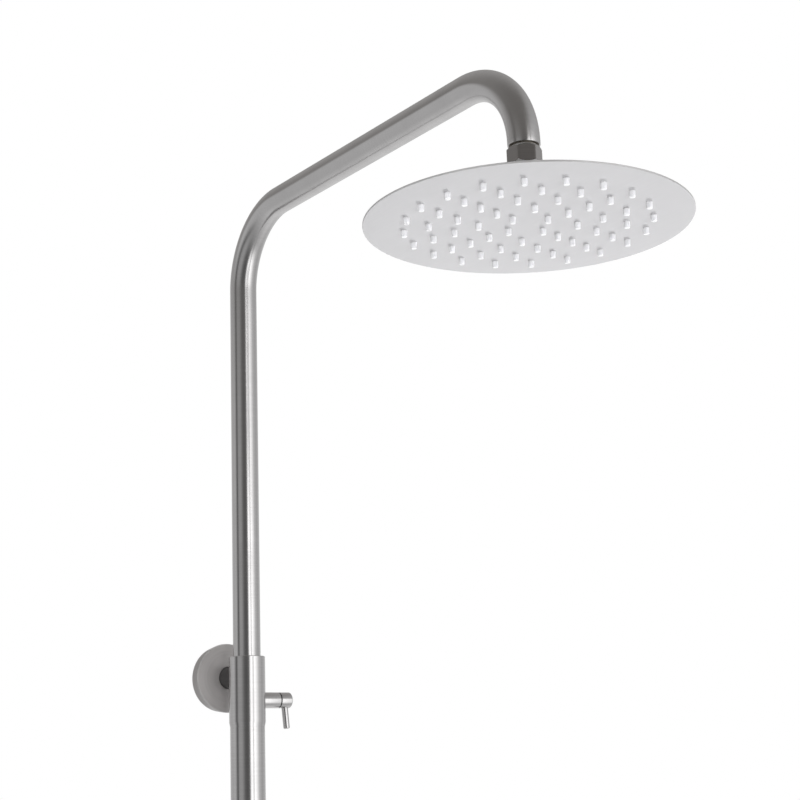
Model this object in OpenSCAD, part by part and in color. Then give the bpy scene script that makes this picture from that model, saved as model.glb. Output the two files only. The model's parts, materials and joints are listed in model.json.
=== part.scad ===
// Wall-hung shower column: a bent upper tube with a round overhead head on a ball joint,
// a diverter body with a side lever, and a thicker lower tube with a hose outlet at its foot.
// The origin is the centre of the upper wall plate's back face. +Y goes into the wall,
// +Z is up, and the column stands on the -Y side.

/* [Upper tube] */
// Outside diameter of the upper tube
upper_tube_d = 25.4; // [22:0.1:27]
// Wall thickness of the upper tube
upper_tube_wall = 1.2; // [0.8:0.1:2]
// Height of the arm's axis above the upper wall fixing
arm_rise = 440; // [300:5:700]
// Distance from the riser's axis to the head's axis
arm_reach = 430; // [250:5:600]
// Centre-line radius of the bend at the top of the riser
riser_bend = 72; // [45:1:110]
// Centre-line radius of the bend over the head
drop_bend = 68.5; // [45:0.5:110]
// Straight end of the tube below the bend over the head
drop_straight = 2.5; // [2:0.5:60]

/* [Diverter] */
// Height of the diverter body's top above the upper wall fixing
body_head = 17; // [16:0.5:30]
// Depth of the handle's axis below the upper wall fixing
handle_drop = 22.5; // [20:0.5:40]
// Height of the diverter body below the handle's axis
body_tail = 24; // [22:0.5:40]
// Step from the lower tube's surface out to the body's surface
body_step = 0.8; // [0.4:0.1:3]
// Bevel height at the body's lower edge
body_bevel = 4; // [1:0.5:6]
// Depth of the spigots inside the lower tube
spigot_length = 22; // [20:0.5:30]
// Diameter of the handle's hub
hub_d = 14.5; // [13:0.5:18]
// Distance from the riser's axis to the groove between bonnet and handle cap
bonnet_reach = 32.3; // [26:0.1:45]
// Width of that groove
hub_groove = 1; // [0.5:0.1:2]
// Length of the turning handle cap
cap_length = 11.7; // [8.5:0.1:16]
// Diameter of the lever pin
lever_d = 6; // [4:0.5:6.5]
// Lever length below the hub's axis
lever_length = 26; // [20:0.5:60]
// Outward lean of the lever
lever_lean = 5.5; // [0:0.5:8]
// Diameter of the spindle
spindle_d = 6; // [5:0.5:7]

/* [Lower tube] */
// Outside diameter of the lower tube
lower_tube_d = 31.8; // [30:0.1:38]
// Wall thickness of the lower tube
lower_tube_wall = 1.2; // [0.8:0.1:2]
// Visible length of the lower tube
lower_tube_length = 640; // [300:10:900]
// Outside diameter of the inner tube to the hose outlet
inner_tube_d = 12; // [10:0.5:13]
// Wall thickness of the inner tube
inner_tube_wall = 1; // [0.6:0.1:1.5]
// Depth of the lower wall fixing below the lower tube
foot_head = 22; // [20:0.5:40]
// Height of the foot below the lower wall fixing
foot_tail = 28; // [26:0.5:50]

/* [Wall fixing] */
// Distance from the wall to the column's axis
wall_gap = 50; // [46:1:90]
// Diameter of the wall flange at its front rim
flange_d = 64; // [60:0.5:80]
// Diameter of the wall flange at the wall
flange_back_d = 60.5; // [58:0.5:76]
// Depth of the wall flange from the wall to its front rim
flange_depth = 13.5; // [13:0.5:20]
// Rise of the flange's face from its rim to its centre hole
flange_rise = 2.5; // [0.5:0.5:5]
// Diameter of the spacer sleeve between flange and body
sleeve_d = 20; // [18:0.5:24]
// Diameter of the stud inside the sleeve
stud_d = 8; // [6:0.5:8]
// Diameter of the wall plate
plate_d = 48; // [44:1:54]
// Thickness of the wall plate
plate_t = 5; // [3:0.5:6]
// Distance between the two wall screws
screw_spacing = 34; // [30:1:36]
// Diameter of the wall screw holes
screw_hole_d = 5.2; // [4:0.1:6]

/* [Shower head] */
// Diameter of the shower head
head_d = 250; // [235:5:400]
// Thickness of the head at its rim
head_edge = 1.5; // [1.4:0.1:3]
// Thickness of the head at its centre, from the face to the cover's top
head_height = 12; // [11:0.5:20]
// Thickness of the face sheet
face_sheet = 0.7; // [0.5:0.1:1]
// Thickness of the cover sheet
cover_sheet = 0.8; // [0.5:0.1:1]
// Thickness of the silicone nozzle mat
mat_t = 1.2; // [0.8:0.1:1.5]
// Thickness of the plate that clamps the mat
clamp_t = 1.2; // [0.8:0.1:1.5]
// Number of nozzle rings
ring_count = 5; // [2:1:5]
// Number of nozzles on the innermost ring, added again for each ring outward
ring_step = 4; // [3:1:6]
// Distance between nozzle rings
ring_pitch = 18.8; // [12:0.2:19.4]
// Angle of the first nozzle of each ring
ring_start = 13; // [0:1:45]
// Length of a nozzle below the face
nozzle_length = 5; // [2:0.5:6]
// Diameter of a nozzle at the face
nozzle_d = 4.8; // [3:0.1:5]
// Diameter of a nozzle at its tip
nozzle_tip_d = 4.4; // [2.4:0.1:4.6]
// Diameter of a nozzle's water hole
jet_d = 1; // [0.6:0.1:1.4]

/* [Ball joint] */
// Gap between the tube's end and the nut
nut_gap = 1; // [0.5:0.1:3]
// Width across the nut's flats
nut_flats = 24; // [24:0.5:30]
// Height of the nut
nut_height = 16; // [13:0.1:24]
// Diameter of the pipe threads
thread_d = 20.95; // [20:0.05:21]
// Diameter of the ball
ball_d = 22; // [21:0.5:24]
// Depth of the ball's centre below the nut
ball_drop = 14; // [14:0.5:25]
// Depth of the cover's top below the ball's centre
socket_depth = 18.8; // [17:0.1:30]
// Diameter of the socket cap
cap_ring_d = 40; // [38:0.5:50]
// Height of the socket cap's top above the ball's centre
cap_top = 9.5; // [8.5:0.1:9.5]

/* [Hidden] */
$fn = 64;

// Clearance between pieces that stay put
fit_gap = 0.05;
// Clearance between pieces that turn on each other
run_gap = 0.06;
// Clearance between a seal and what it seals
seal_gap = 0.03;
// Section radius of the large and the small O-rings
seal_r = 0.8;
small_seal_r = 0.5;
// Radius and socket size of the grub screws, and how far their heads lie below the surface
grub_r = 1.5;
grub_socket_r = 0.85;
grub_socket_depth = 1.2;
grub_sink = 0.4;
// Places of two seals and a grub screw in a tube's seat, as shares of its depth
ring_share_1 = 0.25;
ring_share_2 = 0.5;
screw_share = 0.78;
// Place of the inner tube's seal in a spigot, as a share of its length
inner_ring_share = 0.65;
// Chamfer at the end of a thread
thread_chamfer = 0.8;
// Overshoot of a cut past a face
cut = 1;

// Upper tube
upper_r = upper_tube_d / 2;
upper_bore_r = upper_r - upper_tube_wall;
tube_end_z = arm_rise - drop_bend - drop_straight;
head_y = -wall_gap - arm_reach;

// Lower tube and the two fittings that plug into it
lower_r = lower_tube_d / 2;
lower_bore_r = lower_r - lower_tube_wall;
body_r = lower_r + body_step;
body_bottom = -handle_drop - body_tail;
tube_bottom = body_bottom - lower_tube_length;
foot_z = tube_bottom - foot_head;
foot_bottom = foot_z - foot_tail;
spigot_r = lower_bore_r - fit_gap;
spigot_ring_r = lower_bore_r - seal_gap - 2 * seal_r;
spigot_floor_r = spigot_ring_r - fit_gap;
spigot_ring_1 = ring_share_1 * spigot_length;
spigot_ring_2 = ring_share_2 * spigot_length;
spigot_screw = screw_share * spigot_length;
spigot_screw_depth = 2.5;

// Inner tube and the water ways beside it
inner_r = inner_tube_d / 2;
inner_bore_r = inner_r + fit_gap;
inner_way_r = inner_r - inner_tube_wall - 1;
inner_seat = 4.5;
inner_stop = 0.2;
inner_floor = 2;
inner_ring = inner_ring_share * spigot_length;
supply_wall = 1.6;
supply_ring_r = (inner_bore_r + spigot_floor_r) / 2;
supply_hole_r = (spigot_floor_r - inner_bore_r) / 2 - supply_wall;

// Stud of the wall fixing
stud_r = stud_d / 2;
stud_cover = 1;
passage_r = 8;
passage_wall = 1.8;
stud_in = body_r - passage_r - passage_wall;
stud_tip = 0.4;
boss_depth = plate_t + 7;
boss_r = 9;
stud_back = 2;
sleeve_r = sleeve_d / 2;
sleeve_bore_gap = 0.2;
flange_sheet = 1.6;
flange_edge = 0.8;
flange_hole_gap = 0.1;
flange_seal_back = 0.1;

// Riser's seat in the body
riser_floor = stud_r + stud_cover;
riser_seat = body_head - riser_floor;
riser_ring_1 = riser_floor + ring_share_1 * riser_seat;
riser_ring_2 = riser_floor + ring_share_2 * riser_seat;
riser_screw = riser_floor + screw_share * riser_seat;

// Cartridge, bonnet and handle on the handle's axis
hub_r = hub_d / 2;
cartridge_r = hub_r - 0.3;
cartridge_back = 10;
cartridge_front = 10;
cartridge_floor = 1.5;
cartridge_wall = 1.35;
cartridge_roof = 1;
disc_r = cartridge_r - cartridge_wall - fit_gap;
disc_t = 2.5;
disc_back = 0;
spindle_r = spindle_d / 2;
spindle_flange_t = 2.4;
bonnet_nose_r = hub_r - 1;
bonnet_nose_gap = 0.1;
cap_start = bonnet_reach + hub_groove;
cap_end = cap_start + cap_length;
cap_chamfer = 0.9;
spindle_end = cap_end - 1.7;
lever_x = cap_start + cap_length / 2;
lever_r = lever_d / 2;
lever_root = spindle_r + 0.5;
lever_chamfer = 0.7;
spindle_seal_x = bonnet_reach - 6;

// Nut, ball and socket, with heights measured from the ball's centre
nut_top = tube_end_z - nut_gap;
nut_bottom = nut_top - nut_height;
ball_z = nut_bottom - ball_drop;
ball_r = ball_d / 2;
neck_r = 6;
ball_bore_r = 4;
thread_r = thread_d / 2;
nut_bore_depth = 10;
nut_floor = nut_top - nut_bore_depth;
washer_t = 1.5;
screen_t = 0.6;
nipple_bottom = nut_floor + washer_t + screen_t + fit_gap;
nipple_bore_r = 7;
seat_ring_t = 0.95;
seat_ring_low = 3;
seat_ring_high = 8;
cap_mouth_r = ball_r - 1.8;
socket_cut_r = ball_r + 0.3;
seat_out_r = ball_r + run_gap + seat_ring_t;
ring_cut_r = seat_out_r + run_gap;
tilt_limit = 15;
tilt_gap = 0.3;
ring_cut_depth = seat_out_r * sin(tilt_limit - asin(seat_ring_low / seat_out_r)) + tilt_gap;
socket_r = cap_ring_d / 2 - 2;
cap_skirt = 7;
cap_shelf = 2.9;
ball_seal_gap = 0.1;
ball_seal_r = 1.3;
ball_seal_angle = 43;
water_way_r = 7;

// Hose outlet at the front of the foot
outlet_boss_r = 11;
outlet_boss_out = 2.5;
outlet_boss_y = body_r + outlet_boss_out;
outlet_plug_r = 7.5;
outlet_plug_in = 6;
outlet_plug_room = 2.5;
outlet_washer_t = 1.5;
outlet_hex_t = 5;
outlet_thread = 13;
outlet_bore_r = 6;

// Supply inlet at the bottom of the foot
inlet_rim = 2.4;
inlet_bore_r = spigot_r - inlet_rim;
inlet_bore_depth = 14;
inlet_plug = 8;
inlet_flats = nut_flats + 3;
inlet_hex_t = 6;
inlet_thread = 14;
inlet_way_r = 7.5;

// Head, with heights measured up from its face
head_r = head_d / 2;
face_z = ball_z - socket_depth - head_height;
mat_r = ring_count * ring_pitch + 8;
clamp_top = face_sheet + mat_t + clamp_t;
shoulder_r = mat_r - 2;
shoulder_z = clamp_top + cover_sheet + 0.5;
crown_r = 30;
post_r = 3;
post_ring_r = crown_r + 25;
post_gap = 0.1;

// Nozzle positions: ring n holds n times ring_step nozzles
nozzles = [for (n = [1 : ring_count]) for (k = [0 : n * ring_step - 1])
    let (a = ring_start + k * 360 / (n * ring_step)) [n * ring_pitch * cos(a), n * ring_pitch * sin(a)]];

// A torus-shaped seal whose hole has radius hole_r
module seal(hole_r, section_r) {
    rotate_extrude() translate([hole_r + section_r, 0]) circle(section_r, $fn = 32);
}

// A ring-shaped cut in the outside of a shaft
module shaft_groove(floor_r, top_r, section_r) {
    difference() {
        cylinder(r = top_r + cut, h = 2 * section_r + 2 * fit_gap, center = true);
        cylinder(r = floor_r, h = 2 * section_r + 2 * cut, center = true);
    }
}

// A ring-shaped cut in the wall of a bore
module bore_groove(hole_r, section_r) {
    cylinder(r = hole_r + 2 * section_r + fit_gap, h = 2 * section_r + 2 * fit_gap, center = true);
}

// A headless screw along +Z, with its hexagon socket at the top
module grub_screw(length) {
    difference() {
        cylinder(r = grub_r, h = length, $fn = 32);
        translate([0, 0, length - grub_socket_depth])
            cylinder(r = grub_socket_r, h = grub_socket_depth + cut, $fn = 6);
    }
}

// Frames: the riser's axis, the handle's axis along +Z, the head's axis and the ball's centre
module on_riser(z) { translate([0, -wall_gap, z]) children(); }
module on_handle() { on_riser(-handle_drop) rotate([0, 90, 0]) children(); }
module on_head(z) { translate([0, head_y, z]) children(); }
module toward_wall(z) { on_riser(z) rotate([-90, 0, 0]) children(); }
module toward_front(z) { on_riser(z) rotate([90, 0, 0]) children(); }

// A solid bar of radius r along the upper tube's centre line
module bent_bar(r, extra = 0) {
    riser_top = arm_rise - riser_bend;
    on_riser(riser_floor + seal_gap - extra)
        cylinder(r = r, h = riser_top - riser_floor - seal_gap + extra);
    on_riser(riser_top) translate([0, -riser_bend, 0]) rotate([90, 0, 90])
        rotate_extrude(angle = 90) translate([riser_bend, 0]) circle(r);
    translate([0, -wall_gap - riser_bend, arm_rise]) rotate([90, 0, 0])
        cylinder(r = r, h = arm_reach - riser_bend - drop_bend);
    on_head(arm_rise - drop_bend) translate([0, drop_bend, 0]) rotate([90, 0, 90]) rotate([0, 0, 90])
        rotate_extrude(angle = 90) translate([drop_bend, 0]) circle(r);
    on_head(tube_end_z - extra) cylinder(r = r, h = drop_straight + extra);
}

module upper_tube() {
    color("silver") difference() {
        bent_bar(upper_r);
        bent_bar(upper_bore_r, cut);
    }
}

module arm_nipple() {
    thread_length = tube_end_z - nipple_bottom;
    color("darkgoldenrod") on_head(nipple_bottom) difference() {
        union() {
            cylinder(r = thread_r - fit_gap, h = thread_length + drop_straight);
            translate([0, 0, thread_length])
                cylinder(r = upper_bore_r - fit_gap, h = drop_straight);
        }
        translate([0, 0, -cut])
            cylinder(r = nipple_bore_r, h = thread_length + drop_straight + 2 * cut);
    }
}

module filter_screen() {
    rim = 1.5;
    mesh_r = 0.9;
    mesh_pitch = 2.6;
    color("gainsboro") on_head(nut_floor + washer_t) difference() {
        cylinder(r = nipple_bore_r + rim, h = screen_t);
        translate([0, 0, -cut]) cylinder(r = mesh_r, h = screen_t + 2 * cut, $fn = 16);
        for (n = [1 : 2]) for (k = [0 : 6 * n - 1]) rotate([0, 0, k * 60 / n])
            translate([mesh_pitch * n, 0, -cut]) cylinder(r = mesh_r, h = screen_t + 2 * cut, $fn = 16);
    }
}

module connector_washer() {
    hole_r = ball_bore_r + 1.5;
    color("dimgray") on_head(nut_floor) difference() {
        cylinder(r = thread_r - 2 * fit_gap, h = washer_t - fit_gap);
        translate([0, 0, -cut]) cylinder(r = hole_r, h = washer_t + 2 * cut);
    }
}

module flow_restrictor() {
    length = 4;
    sink = 0.5;
    hole_r = 1.5;
    color("seagreen") on_head(nut_floor - length - sink) difference() {
        cylinder(r = ball_bore_r - fit_gap, h = length);
        translate([0, 0, -cut]) cylinder(r = hole_r, h = length + 2 * cut, $fn = 24);
    }
}

module ball_connector() {
    chamfer = 1.1;
    flat_r = nut_flats / 2;
    corner_r = flat_r / cos(30);
    round_r = corner_r + 0.1;
    color("silver") difference() {
        union() {
            on_head(nut_bottom) intersection() {
                rotate([0, 0, 30]) cylinder(r = corner_r, h = nut_height, $fn = 6);
                union() {
                    cylinder(r1 = flat_r, r2 = round_r, h = chamfer);
                    translate([0, 0, chamfer]) cylinder(r = round_r, h = nut_height - 2 * chamfer);
                    translate([0, 0, nut_height - chamfer])
                        cylinder(r1 = round_r, r2 = flat_r, h = chamfer);
                }
            }
            on_head(ball_z) cylinder(r = neck_r, h = ball_drop + cut);
            on_head(ball_z) sphere(r = ball_r);
        }
        on_head(ball_z - ball_r - cut)
            cylinder(r = ball_bore_r, h = 2 * ball_r + ball_drop + nut_height);
        on_head(nut_floor) cylinder(r = thread_r, h = nut_bore_depth + cut);
    }
}

module riser_o_rings() {
    color("black") for (z = [riser_ring_1, riser_ring_2])
        on_riser(z) seal(upper_r + seal_gap, seal_r);
}

module riser_grub_screw() {
    start = upper_r + seal_gap;
    color("gray") toward_wall(riser_screw) translate([0, 0, start])
        grub_screw(body_r - start - grub_sink);
}

// A spigot that goes down into the lower tube, with two seal grooves and a screw hole at the back
module spigot() {
    difference() {
        translate([0, 0, -spigot_length]) cylinder(r = spigot_r, h = spigot_length);
        for (z = [spigot_ring_1, spigot_ring_2]) translate([0, 0, -z])
            shaft_groove(spigot_floor_r, spigot_r, seal_r);
        translate([0, spigot_r - spigot_screw_depth, -spigot_screw]) rotate([-90, 0, 0])
            cylinder(r = grub_r + fit_gap, h = spigot_screw_depth + cut, $fn = 32);
    }
}

// Four water ways on a circle, running up from z = 0
module supply_holes(length) {
    for (k = [0 : 3]) rotate([0, 0, 45 + 90 * k]) translate([supply_ring_r, 0, 0])
        cylinder(r = supply_hole_r, h = length, $fn = 32);
}

// The tapped hole for the wall stud, from the surface inward
module stud_hole(z) {
    toward_wall(z) translate([0, 0, body_r - stud_in])
        cylinder(r = stud_r + fit_gap, h = stud_in + cut, $fn = 48);
}

module diverter_body() {
    top_chamfer = 0.5;
    height = body_head - body_bottom;
    color("silver") difference() {
        on_riser(body_bottom) {
            cylinder(r1 = lower_r, r2 = body_r, h = body_bevel);
            translate([0, 0, body_bevel])
                cylinder(r = body_r, h = height - body_bevel - top_chamfer);
            translate([0, 0, height - top_chamfer])
                cylinder(r1 = body_r, r2 = body_r - top_chamfer, h = top_chamfer);
            spigot();
        }
        on_riser(riser_floor) cylinder(r = upper_r + fit_gap, h = riser_seat + cut);
        for (z = [riser_ring_1, riser_ring_2]) on_riser(z) bore_groove(upper_r + seal_gap, seal_r);
        toward_wall(riser_screw) cylinder(r = grub_r + fit_gap, h = body_r + cut, $fn = 32);
        on_riser(-handle_drop) cylinder(r = passage_r / 2, h = riser_floor + handle_drop + cut);
        on_riser(-handle_drop + cartridge_r + cartridge_roof)
            cylinder(r = passage_r, h = riser_floor + handle_drop - cartridge_r);
        on_riser(-handle_drop) rotate([0, 90, 0]) translate([0, 0, -cartridge_back - fit_gap])
            cylinder(r = cartridge_r + fit_gap, h = cartridge_back + body_r + cut);
        on_riser(body_bottom - spigot_length - cut)
            cylinder(r = inner_bore_r, h = spigot_length + inner_seat + cut);
        on_riser(body_bottom) cylinder(r = inner_way_r, h = body_tail);
        on_riser(body_bottom - inner_ring) bore_groove(inner_r + seal_gap, small_seal_r);
        on_riser(body_bottom - spigot_length - cut)
            supply_holes(spigot_length + body_tail + cut);
        stud_hole(0);
    }
}

module handle_bonnet() {
    plug_in = body_r - cartridge_front;
    color("silver") on_handle() difference() {
        union() {
            translate([0, 0, cartridge_front + fit_gap]) cylinder(r = cartridge_r, h = plug_in + cut);
            translate([0, 0, body_r + fit_gap]) cylinder(r = hub_r, h = bonnet_reach - body_r - fit_gap);
            translate([0, 0, bonnet_reach])
                cylinder(r = bonnet_nose_r, h = hub_groove - bonnet_nose_gap);
        }
        cylinder(r = spindle_r + run_gap, h = bonnet_reach + hub_groove + cut);
        translate([0, 0, spindle_seal_x]) bore_groove(spindle_r + run_gap, seal_r);
    }
}

module spindle_o_ring() {
    color("black") on_handle() translate([0, 0, spindle_seal_x]) seal(spindle_r + run_gap, seal_r);
}

module cartridge_housing() {
    length = cartridge_back + cartridge_front;
    port_r = 2.6;
    color("ivory") on_handle() translate([0, 0, -cartridge_back]) difference() {
        cylinder(r = cartridge_r, h = length);
        translate([0, 0, cartridge_floor])
            cylinder(r = cartridge_r - cartridge_wall, h = length);
        for (k = [0 : 3]) rotate([0, 0, 90 * k]) translate([0, 0, cartridge_floor + port_r + 1])
            rotate([0, 90, 0]) cylinder(r = port_r, h = cartridge_r + cut, $fn = 32);
    }
}

// A ceramic disc with two ports
module ceramic_disc(port_a, port_b) {
    difference() {
        cylinder(r = disc_r, h = disc_t);
        for (a = [port_a, port_b]) rotate([0, 0, a]) translate([disc_r / 2, 0, -cut])
            cylinder(r = disc_r / 4, h = disc_t + 2 * cut, $fn = 32);
    }
}

module fixed_disc() {
    color("white") on_handle() translate([0, 0, disc_back]) ceramic_disc(90, 270);
}

module moving_disc() {
    color("whitesmoke") on_handle() translate([0, 0, disc_back + disc_t + fit_gap])
        ceramic_disc(0, 180);
}

module spindle() {
    start = disc_back + 2 * disc_t + 2 * fit_gap;
    color("darkgoldenrod") on_handle() translate([0, 0, start]) {
        cylinder(r = disc_r, h = spindle_flange_t);
        cylinder(r = spindle_r, h = spindle_end - start);
    }
}

module handle_cap() {
    color("silver") on_handle() difference() {
        union() {
            translate([0, 0, cap_start]) cylinder(r = hub_r, h = cap_length - cap_chamfer);
            translate([0, 0, cap_end - cap_chamfer])
                cylinder(r1 = hub_r, r2 = hub_r - cap_chamfer, h = cap_chamfer);
        }
        translate([0, 0, cap_start - cut])
            cylinder(r = spindle_r + fit_gap, h = spindle_end - cap_start + cut + fit_gap);
        translate([0, 0, lever_x]) rotate([0, 90 - lever_lean, 0])
            cylinder(r = lever_r + fit_gap, h = hub_r + lever_length, $fn = 48);
        translate([0, 0, lever_x]) rotate([-90, 0, 0])
            cylinder(r = grub_r + fit_gap, h = hub_r + cut, $fn = 32);
    }
}

module lever_pin() {
    color("silver") on_handle() translate([0, 0, lever_x]) rotate([0, 90 - lever_lean, 0]) {
        translate([0, 0, lever_root])
            cylinder(r = lever_r, h = lever_length - lever_root - lever_chamfer, $fn = 48);
        translate([0, 0, lever_length - lever_chamfer])
            cylinder(r1 = lever_r, r2 = lever_r - lever_chamfer, h = lever_chamfer, $fn = 48);
    }
}

module handle_grub_screw() {
    start = spindle_r + fit_gap;
    color("gray") on_handle() translate([0, 0, lever_x]) rotate([-90, 0, 0])
        translate([0, 0, start]) grub_screw(hub_r - start - grub_sink);
}

module lower_tube() {
    color("silver") on_riser(tube_bottom + fit_gap) difference() {
        cylinder(r = lower_r, h = lower_tube_length - 2 * fit_gap);
        translate([0, 0, -cut]) cylinder(r = lower_bore_r, h = lower_tube_length + 2 * cut);
        for (z = [spigot_screw, lower_tube_length - spigot_screw]) translate([0, 0, z - fit_gap])
            rotate([-90, 0, 0]) cylinder(r = grub_r + fit_gap, h = lower_r + cut, $fn = 32);
    }
}

module spigot_o_rings() {
    color("black") for (z = [spigot_ring_1, spigot_ring_2]) {
        on_riser(body_bottom - z) seal(spigot_ring_r, seal_r);
        on_riser(tube_bottom + z) seal(spigot_ring_r, seal_r);
    }
}

module tube_grub_screws() {
    start = spigot_r - spigot_screw_depth + fit_gap;
    color("gray") for (z = [body_bottom - spigot_screw, tube_bottom + spigot_screw])
        toward_wall(z) translate([0, 0, start]) grub_screw(lower_r - start - grub_sink);
}

module inner_tube() {
    bottom = foot_z + inner_seat + inner_floor + inner_stop;
    top = body_bottom + inner_seat - inner_stop;
    color("lightsteelblue") on_riser(bottom) difference() {
        cylinder(r = inner_r, h = top - bottom);
        translate([0, 0, -cut]) cylinder(r = inner_r - inner_tube_wall, h = top - bottom + 2 * cut);
    }
}

module inner_tube_o_rings() {
    color("black") for (z = [body_bottom - inner_ring, tube_bottom + inner_ring])
        on_riser(z) seal(inner_r + seal_gap, small_seal_r);
}

module foot_fitting() {
    height = foot_head + foot_tail;
    chamfer = 0.8;
    color("silver") difference() {
        union() {
            on_riser(foot_bottom) {
                cylinder(r1 = body_r - chamfer, r2 = body_r, h = chamfer);
                translate([0, 0, chamfer]) cylinder(r = body_r, h = height - body_bevel - chamfer);
                translate([0, 0, height - body_bevel])
                    cylinder(r1 = body_r, r2 = lower_r, h = body_bevel);
            }
            on_riser(tube_bottom) mirror([0, 0, 1]) spigot();
            toward_front(foot_z) cylinder(r = outlet_boss_r, h = outlet_boss_y);
        }
        on_riser(foot_z + inner_seat + inner_floor)
            cylinder(r = inner_bore_r, h = foot_head + spigot_length + cut);
        on_riser(tube_bottom + inner_ring) bore_groove(inner_r + seal_gap, small_seal_r);
        on_riser(foot_z) cylinder(r = inner_seat, h = foot_head);
        toward_front(foot_z) cylinder(r = inner_seat, h = outlet_boss_y);
        toward_front(foot_z) translate([0, 0, outlet_boss_y - outlet_plug_in - outlet_plug_room])
            cylinder(r = outlet_plug_r + fit_gap, h = outlet_plug_in + outlet_plug_room + cut);
        on_riser(foot_bottom - cut)
            cylinder(r = inlet_bore_r + fit_gap, h = inlet_bore_depth + cut);
        on_riser(foot_bottom + inlet_bore_depth - cut)
            supply_holes(height - inlet_bore_depth + spigot_length + 2 * cut);
        stud_hole(foot_z);
    }
}

// A hexagon collar with chamfered ends
module hex_collar(flats, height) {
    corner_r = flats / 2 / cos(30);
    intersection() {
        cylinder(r = corner_r, h = height, $fn = 6);
        union() {
            cylinder(r1 = flats / 2, r2 = flats / 2 + height, h = height / 2);
            translate([0, 0, height / 2])
                cylinder(r1 = flats / 2 + height, r2 = flats / 2, h = height / 2);
        }
    }
}

module inlet_nipple() {
    color("silver") on_riser(foot_bottom) mirror([0, 0, 1]) difference() {
        union() {
            translate([0, 0, -inlet_plug]) cylinder(r = inlet_bore_r, h = inlet_plug + cut);
            translate([0, 0, fit_gap]) hex_collar(inlet_flats, inlet_hex_t);
            cylinder(r = thread_r, h = inlet_hex_t + inlet_thread - thread_chamfer);
            translate([0, 0, inlet_hex_t + inlet_thread - thread_chamfer])
                cylinder(r1 = thread_r, r2 = thread_r - thread_chamfer, h = thread_chamfer);
        }
        translate([0, 0, -inlet_plug - cut])
            cylinder(r = inlet_way_r, h = inlet_plug + inlet_hex_t + inlet_thread + 2 * cut);
        translate([0, 0, -inlet_plug / 2])
            shaft_groove(inlet_bore_r - 2 * seal_r, inlet_bore_r, seal_r);
    }
}

module inlet_o_ring() {
    color("black") on_riser(foot_bottom + inlet_plug / 2)
        seal(inlet_bore_r - 2 * seal_r + fit_gap / 2, seal_r);
}

module outlet_nipple() {
    start = outlet_boss_y - outlet_plug_in;
    collar = outlet_boss_y + outlet_washer_t;
    tip = collar + outlet_hex_t + outlet_thread;
    color("silver") toward_front(foot_z) difference() {
        union() {
            translate([0, 0, start])
                cylinder(r = outlet_plug_r, h = outlet_plug_in + outlet_washer_t + cut);
            translate([0, 0, collar]) hex_collar(nut_flats, outlet_hex_t);
            translate([0, 0, collar]) cylinder(r = thread_r, h = tip - collar - thread_chamfer);
            translate([0, 0, tip - thread_chamfer])
                cylinder(r1 = thread_r, r2 = thread_r - thread_chamfer, h = thread_chamfer);
        }
        translate([0, 0, start - cut]) cylinder(r = outlet_bore_r, h = tip - start + 2 * cut);
    }
}

module outlet_washer() {
    color("dimgray") toward_front(foot_z) translate([0, 0, outlet_boss_y]) difference() {
        cylinder(r = outlet_boss_r - 1, h = outlet_washer_t);
        translate([0, 0, -cut]) cylinder(r = outlet_plug_r + fit_gap, h = outlet_washer_t + 2 * cut);
    }
}

module check_valve() {
    length = 10;
    color("royalblue") toward_front(foot_z) translate([0, 0, outlet_boss_y]) difference() {
        cylinder(r = outlet_bore_r - fit_gap, h = length);
        for (k = [0 : 2]) rotate([0, 0, 120 * k]) translate([outlet_bore_r / 2, 0, -cut])
            cylinder(r = outlet_bore_r / 4, h = length + 2 * cut, $fn = 24);
    }
}

// Pieces of one wall fixing, at height z
module from_wall(z) { translate([0, 0, z]) rotate([90, 0, 0]) children(); }

module wall_plate(z) {
    color("gray") from_wall(z) difference() {
        union() {
            cylinder(r = plate_d / 2, h = plate_t);
            cylinder(r = boss_r, h = boss_depth);
        }
        translate([0, 0, stud_back]) cylinder(r = stud_r + fit_gap, h = boss_depth, $fn = 48);
        for (x = [-1, 1]) translate([x * screw_spacing / 2, 0, -cut])
            cylinder(r = screw_hole_d / 2, h = plate_t + 2 * cut, $fn = 32);
    }
}

module wall_flange(z) {
    front_r = flange_d / 2;
    back_r = flange_back_d / 2;
    hole_r = sleeve_r + flange_hole_gap;
    crown = flange_depth + flange_rise;
    color("silver") from_wall(z) rotate_extrude($fn = 96) polygon([
        [back_r, 0], [front_r, flange_depth - flange_edge], [front_r - flange_edge, flange_depth],
        [hole_r, crown], [hole_r, crown - flange_sheet],
        [front_r - 2 * flange_sheet, flange_depth - flange_sheet], [back_r - flange_sheet, 0]]);
}

module spacer_sleeve(z) {
    color("dimgray") difference() {
        from_wall(z) translate([0, 0, boss_depth]) difference() {
            cylinder(r = sleeve_r, h = wall_gap - boss_depth - body_r / 2);
            translate([0, 0, -cut])
                cylinder(r = stud_r + sleeve_bore_gap, h = wall_gap, $fn = 48);
        }
        on_riser(z - sleeve_r - cut) cylinder(r = body_r + fit_gap, h = 2 * sleeve_r + 2 * cut);
    }
}

module wall_stud(z) {
    start = stud_back + stud_tip;
    color("gray") from_wall(z) translate([0, 0, start])
        cylinder(r = stud_r, h = wall_gap - body_r + stud_in - stud_tip - start, $fn = 48);
}

module flange_ring(z) {
    front = flange_depth + flange_rise - flange_sheet;
    color("black") from_wall(z) translate([0, 0, front - small_seal_r - flange_seal_back])
        seal(sleeve_r + seal_gap, small_seal_r);
}

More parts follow.
